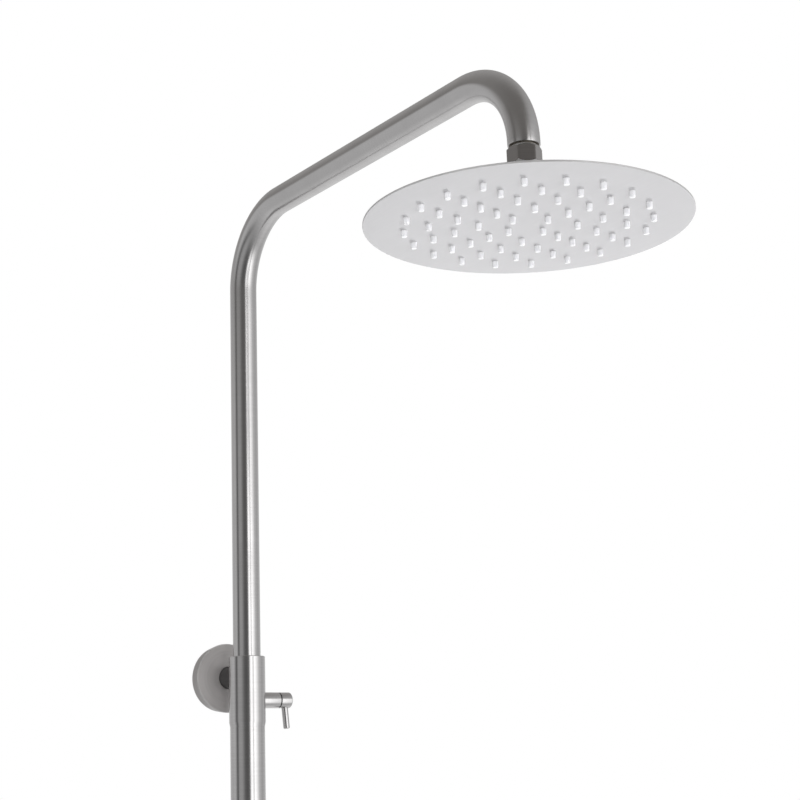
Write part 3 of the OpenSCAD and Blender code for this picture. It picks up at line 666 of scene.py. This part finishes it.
def make_bonnet(axis, groove_start):
    """The hub's still part, with a plug into the body and a nose in the groove painted dark as shade."""
    plug_start, nose_end = (corner.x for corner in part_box("handle_bonnet"))
    bonnet = turned("bonnet", [
        (SPINDLE_HOLE_R, plug_start), (PLUG_R, plug_start), (PLUG_R, SADDLE_X), (HUB_R, SADDLE_X),
        (HUB_R, groove_start), (NOSE_R, groove_start), (NOSE_R, nose_end), (SPINDLE_HOLE_R, nose_end)],
        axis, edge=0.2 * MM)
    dress(bonnet, "column", hub_steel, "fitting_steel", "handle_bonnet")
    paint_faces(bonnet, shadow_steel, lambda face: face.center.x > groove_start - GROOVE_SHADE)


def make_cap(axis, start, end):
    """The hub's turning part, closed at its front."""
    bore_end = end - CAP_FRONT
    cap = turned("cap", [
        (SPINDLE_HOLE_R, start), (HUB_R, start), (HUB_R, end - CAP_CHAMFER), (HUB_R - CAP_CHAMFER, end),
        (0, end), (0, bore_end), (SPINDLE_HOLE_R, bore_end)], axis, edge=0.25 * MM)
    dress(cap, "handle", hub_steel, "fitting_steel", "handle_cap")


def make_lever(x):
    """A pin that hangs from the cap and leans outward."""
    lean = math.radians(LEVER_LEAN)
    axis = straight((x, RISER_Y, HUB_Z), (math.sin(lean), 0, -math.cos(lean)), (0, 1, 0))
    lever = turned("lever", [
        (0, LEVER_ROOT), (LEVER_R, LEVER_ROOT), (LEVER_R, LEVER_END - LEVER_TIP),
        (LEVER_R - LEVER_TIP, LEVER_END), (0, LEVER_END)], axis, segments=64, edge=0.3 * MM)
    dress(lever, "handle", lever_steel, "fitting_steel", "lever_pin")


def make_handle():
    """The hub on the body's side, with its lever."""
    axis = straight((RISER_X, RISER_Y, HUB_Z), (1, 0, 0))
    cap_start, cap_end = (corner.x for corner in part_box("handle_cap"))
    make_bonnet(axis, cap_start - GROOVE)
    make_cap(axis, cap_start, cap_end)
    make_lever((cap_start + cap_end) / 2)


make_handle()


# Wall flanges

FLANGE_R = 32 * MM
FLANGE_BACK_R = 30.25 * MM
FLANGE_DEPTH = 13.5 * MM
FLANGE_CROWN = 16 * MM
FLANGE_HOLE_R = 10.1 * MM
FLANGE_SHEET = 1.6 * MM
FLANGE_EDGE = 0.8 * MM
FLANGE_ROUNDING = 0.7 * MM
# Share of the face's rise that is reached half way in
FLANGE_DOME = 0.62
# Faces of the front edge, painted lighter as a highlight, have a normal whose forward part lies between these
FLANGE_HIGHLIGHT_NORMAL = (0.35, 0.94)


def make_flange(name, z, node):
    """A turned cup against the wall, with a soft front edge painted lighter as a highlight, and a slightly domed
    face.
    """
    axis = straight((0, 0, z), (0, -1, 0))
    crown_r = (FLANGE_R + FLANGE_HOLE_R) / 2
    crown = FLANGE_DEPTH + FLANGE_DOME * (FLANGE_CROWN - FLANGE_DEPTH)
    flange = turned(name, [
        (FLANGE_BACK_R, 0), (FLANGE_R, FLANGE_DEPTH - FLANGE_EDGE),
        (FLANGE_R - FLANGE_EDGE, FLANGE_DEPTH), (crown_r, crown), (FLANGE_HOLE_R, FLANGE_CROWN),
        (FLANGE_HOLE_R, FLANGE_CROWN - FLANGE_SHEET),
        (FLANGE_R - 2 * FLANGE_SHEET, FLANGE_DEPTH - FLANGE_SHEET), (FLANGE_BACK_R - FLANGE_SHEET, 0)],
        axis, segments=128, edge=FLANGE_ROUNDING)
    dress(flange, "column", flange_steel, "flange_steel", node)
    edge_back = 2 * FLANGE_EDGE - FLANGE_DEPTH

    def on_highlight_edge(face):
        forward = -face.normal.y
        return face.center.y < edge_back and FLANGE_HIGHLIGHT_NORMAL[0] < forward < FLANGE_HIGHLIGHT_NORMAL[1]

    # The front edge gets the lighter steel: a painted highlight.
    paint_faces(flange, flange_edge_highlight_steel, on_highlight_edge)


make_flange("upper_flange", 0, "upper_wall_flange")
make_flange("lower_flange", FOOT_Z, "lower_wall_flange")


# Shower head: face sheet with its holes, nozzles, cover and socket cap

HEAD_SEGMENTS = 192
HEAD_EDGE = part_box("face_plate")[1].z - FACE_Z
FACE_SHEET = 0.7 * MM
RIM_ROUNDING = 0.5 * MM
RIM_CHAMFER = 0.1 * MM
COVER_SHEET = 0.8 * MM
HOLE_GAP = 0.05 * MM
HOLE_SEGMENTS = 24
NOZZLE_R = 2.4 * MM
NOZZLE_TIP_R = 2.2 * MM
NOZZLE_LENGTH = FACE_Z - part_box("nozzle_mat")[0].z
JET_R = 0.5 * MM
NOZZLE_RINGS = 5
FIRST_RING_NOZZLES = 4
NOZZLE_PITCH = 18.8 * MM
# How far each ring's first nozzle is turned from X
NOZZLE_TURN = 13
MAT_SHEET = 1.2 * MM
MAT_MARGIN = 8 * MM


def nozzle_places():
    """Centres of the nozzles: ring n holds n times as many as the first."""
    places = []
    for n in range(1, NOZZLE_RINGS + 1):
        r = n * NOZZLE_PITCH
        count = n * FIRST_RING_NOZZLES
        for k in range(count):
            a = math.radians(NOZZLE_TURN + 360 * k / count)
            places.append(Vector((r * math.cos(a), HEAD_Y + r * math.sin(a), 0)))
    return places


def circle(shape, centre, r, z, count):
    """A ring of vertices and its edges."""
    ring = []
    for k in range(count):
        a = 2 * math.pi * k / count
        ring.append(shape.verts.new((centre.x + r * math.cos(a), centre.y + r * math.sin(a), z)))
    edges = [shape.edges.new((ring[k], ring[(k + 1) % count])) for k in range(count)]
    return ring, edges


def bridge(shape, first, second):
    """Faces between two rings of equally many vertices."""
    count = len(first)
    for k in range(count):
        n = (k + 1) % count
        shape.faces.new((first[k], first[n], second[n], second[k]))


def rim_outline():
    """The rim from the face's edge round to the inner side of its top, as (radius, z) points."""
    top = FACE_Z + HEAD_EDGE
    inner_r = HEAD_R - COVER_SHEET
    turns = [math.radians(a) for a in range(0, 91, 15)]
    corner = [(HEAD_R - RIM_ROUNDING * (1 - math.sin(a)), FACE_Z + RIM_ROUNDING * (1 - math.cos(a)))
              for a in turns]
    return corner + [(HEAD_R, top - RIM_CHAMFER), (HEAD_R - RIM_CHAMFER, top), (inner_r, top),
                     (inner_r, FACE_Z + FACE_SHEET)]


def make_face():
    """A thin disc with a turned-up rim and a hole for each nozzle."""
    centre = Vector((RISER_X, HEAD_Y, 0))
    shape = bmesh.new()
    rings = [circle(shape, centre, r, z, HEAD_SEGMENTS) for r, z in rim_outline()]
    for before, after in zip(rings, rings[1:]):
        bridge(shape, before[0], after[0])
    low_edges = list(rings[0][1])
    high_edges = list(rings[-1][1])
    for place in nozzle_places():
        low = circle(shape, place, NOZZLE_R + HOLE_GAP, FACE_Z, HOLE_SEGMENTS)
        high = circle(shape, place, NOZZLE_R + HOLE_GAP, FACE_Z + FACE_SHEET, HOLE_SEGMENTS)
        bridge(shape, low[0], high[0])
        low_edges += low[1]
        high_edges += high[1]
    for edges in (low_edges, high_edges):
        bmesh.ops.triangle_fill(shape, use_beauty=True, use_dissolve=False, edges=edges)
    bmesh.ops.recalc_face_normals(shape, faces=shape.faces)
    mesh = bpy.data.meshes.new("face_sheet")
    shape.to_mesh(mesh)
    shape.free()
    mesh.shade_smooth()
    mesh.set_sharp_from_angle(angle=math.radians(FACE_SMOOTH_ANGLE))
    sheet = dress(placed("face_sheet", mesh), "head", head_steel, "head_steel", "face_plate")

    def on_rim(face):
        reach = (face.center - centre).xy.length
        return face.center.z > FACE_Z + RIM_ROUNDING / 2 and reach > HEAD_R - RIM_ROUNDING

    paint_faces(sheet, rim_steel_and_cone_highlight, on_rim)


def make_nozzles():
    """A soft mat behind the face, and a tapered nozzle with a water hole at each place."""
    root = FACE_SHEET + 0.3 * MM
    tip_inset, tip_rise = 0.3 * MM, 0.5 * MM
    flare, flare_rise = 0.1 * MM, 0.5 * MM
    outline = [
        (JET_R, -NOZZLE_LENGTH), (NOZZLE_TIP_R - tip_inset, -NOZZLE_LENGTH),
        (NOZZLE_TIP_R, tip_rise - NOZZLE_LENGTH), (NOZZLE_R - flare, -flare_rise), (NOZZLE_R, 0),
        (NOZZLE_R, root), (JET_R, root)]
    mat_low, mat_high = FACE_SHEET, FACE_SHEET + MAT_SHEET
    mat_r = NOZZLE_RINGS * NOZZLE_PITCH + MAT_MARGIN
    pieces = [turned("mat", [(mat_r, mat_low), (mat_r, mat_high), (0, mat_high), (0, mat_low)],
                     straight((RISER_X, HEAD_Y, FACE_Z), (0, 0, 1)))]
    for place in nozzle_places():
        axis = straight(place + Vector((0, 0, FACE_Z)), (0, 0, 1))
        pieces.append(turned("nozzle", outline, axis, segments=24))
    dress(join("nozzles", pieces), "head", silicone, "silicone", "nozzle_mat")


def make_cover():
    """The spun sheet over the head, with soft shoulders. Places are heights above the face."""
    axis = straight((RISER_X, HEAD_Y, FACE_Z), (0, 0, 1))
    low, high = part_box("back_cover")
    crown = high.z - FACE_Z
    lip_gap = 0.05 * MM
    lip = HEAD_R - COVER_SHEET - lip_gap
    shoulder_r, shoulder_z, crown_r, hole_r = 100 * MM, 4.4 * MM, 30 * MM, 7 * MM
    cover = turned("cover", [
        (lip, low.z - FACE_Z), (lip, HEAD_EDGE), (shoulder_r, shoulder_z), (crown_r, crown),
        (hole_r, crown), (hole_r, crown - COVER_SHEET), (crown_r, crown - COVER_SHEET),
        (shoulder_r, shoulder_z - COVER_SHEET)], axis, segments=HEAD_SEGMENTS, edge=5 * MM)
    dress(cover, "head", cover_steel, "head_steel", "back_cover")


def make_socket_cap():
    """The screwed ring over the ball, with a ribbed grip. Places are heights above the ball's centre."""
    axis = straight(BALL, (0, 0, 1))
    cap_r, bore_r, mouth_r, inner_r = 20 * MM, 18.05 * MM, 9.2 * MM, 12.07 * MM
    skirt, shelf, top = -7 * MM, 2.95 * MM, 9.5 * MM
    slope, slope_in = 4 * MM, 5 * MM
    seat_start = math.degrees(math.acos(mouth_r / inner_r))
    seat_end = math.degrees(math.asin(shelf / inner_r))
    seat = arc(inner_r, seat_start, seat_end, steps=8)
    rib_count = 36
    points_per_rib = 8
    rib_depth = 0.35 * MM
    rib_margin = 1 * MM
    rib_low, rib_high = skirt + rib_margin, top - slope - rib_margin

    def ribs(r, s, a):
        if r < cap_r - HAIR or s > rib_high or s < rib_low:
            return r
        return r - rib_depth * math.sqrt(max(0, math.cos(rib_count * a)))

    cap = turned("ball_cap", [(bore_r, skirt), (cap_r, skirt), (cap_r, top - slope),
                              (cap_r - slope_in, top), (mouth_r, top)] + seat + [(bore_r, shelf)],
                 axis, segments=rib_count * points_per_rib, edge=0.5 * MM, longest=1.5 * MM, shape=ribs)
    dress(cap, "head", hub_steel, "fitting_steel", "socket_cap")


make_face()
make_nozzles()
make_cover()
make_socket_cap()


# Threaded nipples at the foot

THREAD_R = 10.475 * MM
THREAD_DEPTH = 1.1 * MM
THREAD_PITCH = 1.814 * MM
THREAD_CHAMFER = 0.8 * MM
# Length over which the thread grows to its full depth at either end
THREAD_RUN_OUT = 0.5 * THREAD_PITCH
# The ridge's wave is made steeper and lowered, so that its crest and root are flat
THREAD_STEEPER = 1.3
THREAD_LOWERED = 0.15
# How far collar and thread tube reach into each other
COLLAR_LAP = 0.5 * MM


def make_nipple(name, axis, node, flats, collar, collar_t, thread, bore_r, plug_r, plug_in):
    """A hexagon collar with a plug behind it and a pipe thread in front. Places are along the axis."""
    outline = hexagon(flats / 2, NUT_ROUNDING)
    collar_end = collar + collar_t
    tip = collar_end + thread
    hole_r = bore_r + COLLAR_LAP
    thread_start = collar + COLLAR_LAP
    rings = hex_rings(outline, axis, collar, collar_end, chamfer_rise=1.0)
    rings += round_rings(outline, axis, [(hole_r, collar_end), (hole_r, collar)])
    nut = ring_skin(name + "_collar", rings)

    def screw(r, s, a):
        into = min(s - collar_end, tip - s)
        if r < plug_r + HAIR or into < 0:
            return r
        turn = (s / THREAD_PITCH - a / (2 * math.pi)) % 1
        ridge = abs(2 * turn - 1)
        depth = min(1, into / THREAD_RUN_OUT) * THREAD_DEPTH
        return r - depth * min(1, max(0, ridge * THREAD_STEEPER - THREAD_LOWERED))

    tube = turned(name + "_thread", [
        (bore_r, -plug_in), (plug_r, -plug_in), (plug_r, thread_start), (THREAD_R, thread_start),
        (THREAD_R, tip - THREAD_CHAMFER), (THREAD_R - THREAD_CHAMFER, tip), (bore_r, tip)],
        axis, segments=72, edge=0.2 * MM, longest=0.15 * MM, shape=screw)
    dress(join(name, [nut, tube]), "column", nipple_steel, "fitting_steel", node)


def make_nipples():
    """The supply inlet under the foot and the hose outlet in front of it."""
    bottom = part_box("foot_fitting")[0].z
    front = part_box("foot_fitting")[0].y
    make_nipple("supply_nipple", straight((RISER_X, RISER_Y, bottom), (0, 0, -1)), "inlet_nipple",
                flats=27 * MM, collar=0.05 * MM, collar_t=6 * MM, thread=13.95 * MM,
                bore_r=7.5 * MM, plug_r=9 * MM, plug_in=8 * MM)
    make_nipple("hose_nipple", straight((RISER_X, front, FOOT_Z), (0, -1, 0)), "outlet_nipple",
                flats=24 * MM, collar=1.5 * MM, collar_t=5 * MM, thread=13 * MM,
                bore_r=6 * MM, plug_r=7.5 * MM, plug_in=6 * MM)


make_nipples()


# Floor

FLOOR_R = 6.0
FLOOR_Y = -0.3
FLOOR_Z = -1.8
# Share of the floor's brightness that the camera sees as its own light, and not the lamps'
FLOOR_GLOW = 0.6
# The glow's strength, from this far out to the floor's edge
FADE_FROM = 1.5
FADE_STRENGTH = (0.9, 1.5)


def outward_fade(shader):
    """A strength that grows towards the floor's edge, so that it passes into the white behind it."""
    place = shader.add("ShaderNodeTexCoord")
    reach = shader.add("ShaderNodeVectorMath", operation="LENGTH")
    shader.link(place.outputs["Object"], reach.inputs[0])
    return shader.ranged(reach.outputs["Value"], (FADE_FROM, FLOOR_R), FADE_STRENGTH)


def make_floor():
    """A pale matt disc that keeps the object's shadow."""
    shape = bmesh.new()
    bmesh.ops.create_circle(shape, cap_ends=True, segments=96, radius=FLOOR_R)
    mesh = bpy.data.meshes.new("floor")
    shape.to_mesh(mesh)
    shape.free()
    floor = placed("floor", mesh)
    floor.location = (0, FLOOR_Y, FLOOR_Z)
    floor.visible_glossy = False
    shader = Shader("floor_paint", (0.7, 0.7, 0.7), 0.7)
    patches = 3
    shader.tint(shader.noise((patches,) * 3), 0.01)
    seen = shader.add("ShaderNodeLightPath")
    glow = shader.add("ShaderNodeEmission")
    shader.link(outward_fade(shader), glow.inputs["Strength"])
    share = shader.maths("MULTIPLY", seen.outputs["Is Camera Ray"], FLOOR_GLOW)
    result = shader.mixed_shaders(share, shader.surface.outputs[0], glow.outputs[0])
    shader.link(result, shader.tree.nodes["Material Output"].inputs["Surface"])
    mesh.materials.append(shader.material)


# World: a studio whose walls, ceiling and ground are in the steel's reflections

# Compass angles from the viewer's side, positive to the right, and how bright the walls are there
STRIPS = [(-180, 0.42), (-150, 0.31), (-112, 0.27), (-98, 0.3), (-84, 0.3), (-65, 0.05), (-51, 0.225),
          (-32, 0.22), (-12, 0.08), (0, 0.058), (11, 0.07), (19, 0.13), (28, 0.95), (39, 0.95),
          (45, 0.38), (51, 1.0), (62, 0.85), (86, 0.36), (112, 0.25), (150, 0.32), (180, 0.42)]
STRIP_GAIN = 2.0
# Heights in degrees over which walls pass into ceiling and ground
CEILING_FROM = 11
CEILING_FULL = 24
GROUND_FROM = -24
GROUND_FULL = -60
# Colours of the ceiling from the viewer's side, at 0, to the far side, at 1
CEILING = [(0.62, (0.2, 0.192, 0.184)), (0.98, (0.42, 0.412, 0.405))]
# How much a place counts as farther off for being higher
CEILING_TILT = 0.6
# Brightness of a window in the ceiling, and how far to the right it starts and is full
WINDOW = 0.55
WINDOW_FROM = 0.3
WINDOW_FULL = 0.95
GROUND_FAR = 1.0
GROUND_NEAR = 0.13
# Share of the studio's light that matt surfaces get, since lamps light them too
SOFT_SHARE = 0.4


def grey(level):
    """A colour without hue."""
    return (level, level, level, 1)


def between_heights(sky, z, first, last):
    """A share that grows from 0 to 1 between two heights in degrees."""
    return sky.ranged(z, (math.sin(math.radians(first)), math.sin(math.radians(last))), smooth=True)


def wall_light(sky, to_right, to_viewer):
    """Strips of light and shade by compass direction."""
    turn = sky.maths("ARCTAN2", to_right, to_viewer)
    ramp = sky.add("ShaderNodeValToRGB")
    sky.link(sky.maths("ADD", sky.maths("DIVIDE", turn, 2 * math.pi), 0.5), ramp.inputs["Fac"])
    stops = ramp.color_ramp.elements
    stops[0].color = grey(STRIPS[0][1])
    stops[-1].color = grey(STRIPS[-1][1])
    for angle, level in STRIPS[1:-1]:
        stops.new(angle / 360 + 0.5).color = grey(level)
    return sky.mixed(1, ramp.outputs["Color"], grey(STRIP_GAIN), blend="MULTIPLY")


def ceiling_light(sky, to_right, to_viewer, z):
    """A ceiling that is lighter on the far side, with a window to the right."""
    away = sky.maths("SUBTRACT", sky.maths("ADD", sky.maths("MULTIPLY", z, CEILING_TILT), 1), to_viewer)
    ramp = sky.add("ShaderNodeValToRGB")
    sky.link(sky.maths("MULTIPLY", away, 0.5), ramp.inputs["Fac"])
    for stop, (place, color) in zip(ramp.color_ramp.elements, CEILING):
        stop.position = place
        stop.color = (*color, 1)
    aside = sky.ranged(to_right, (WINDOW_FROM, WINDOW_FULL), smooth=True)
    return sky.mixed(aside, ramp.outputs["Color"], grey(WINDOW))


def make_world():
    """White to the camera, and the studio to every other ray."""
    world = bpy.data.worlds.new("studio")
    bpy.context.scene.world = world
    world.use_nodes = True
    world.node_tree.nodes.clear()
    sky = NodeTree(world.node_tree)
    place = sky.add("ShaderNodeTexCoord")
    parts = sky.add("ShaderNodeSeparateXYZ")
    sky.link(place.outputs["Generated"], parts.inputs[0])
    x, y, z = parts.outputs
    yaw = math.radians(CAMERA_YAW)
    cosine, sine = math.cos(yaw), math.sin(yaw)
    to_right = sky.maths("ADD", sky.maths("MULTIPLY", x, cosine), sky.maths("MULTIPLY", y, -sine))
    to_viewer = sky.maths("ADD", sky.maths("MULTIPLY", x, -sine), sky.maths("MULTIPLY", y, -cosine))
    walls = wall_light(sky, to_right, to_viewer)
    ceiling = ceiling_light(sky, to_right, to_viewer, z)
    ground = sky.ranged(to_viewer, (-1, 1), (GROUND_FAR, GROUND_NEAR))
    upper = sky.mixed(between_heights(sky, z, CEILING_FROM, CEILING_FULL), walls, ceiling)
    whole = sky.mixed(between_heights(sky, z, GROUND_FROM, GROUND_FULL), upper, ground)
    studio = sky.add("ShaderNodeBackground")
    sky.link(whole, studio.inputs["Color"])
    white = sky.add("ShaderNodeBackground")
    white.inputs["Color"].default_value = (1, 1, 1, 1)
    seen = sky.add("ShaderNodeLightPath")
    held_back = sky.maths("MULTIPLY", seen.outputs["Is Diffuse Ray"], 1 - SOFT_SHARE)
    sky.link(sky.maths("SUBTRACT", 1, held_back), studio.inputs["Strength"])
    result = sky.add("ShaderNodeOutputWorld")
    sky.link(sky.mixed_shaders(seen.outputs["Is Camera Ray"], studio.outputs[0], white.outputs[0]),
             result.inputs["Surface"])


# Lamps

LAMP_AIM = Vector((0, -0.3, -0.1))


def make_lamp(name, place, size, watts):
    """A soft lamp aimed at the column. It lights matt surfaces and doesn't show in the steel."""
    data = bpy.data.lights.new(name, "AREA")
    data.shape = "SQUARE"
    data.size = size
    data.energy = watts
    lamp = placed(name, data)
    lamp.location = place
    lamp.rotation_euler = (LAMP_AIM - Vector(place)).to_track_quat("-Z", "Y").to_euler()
    lamp.visible_glossy = False
    lamp.visible_camera = False


make_floor()
make_world()
make_lamp("key_lamp", place=(-0.75, -2.45, -0.45), size=0.5, watts=20)
make_lamp("right_lamp", place=(2.6, -1.6, -0.2), size=1.6, watts=40)
make_lamp("left_lamp", place=(-2.6, -0.9, 0.3), size=1.6, watts=30)
make_lamp("rear_lamp", place=(1.36, 0.69, -1.1), size=0.25, watts=46)
make_lamp("top_lamp", place=(0.4, -0.4, 3.2), size=2.4, watts=60)
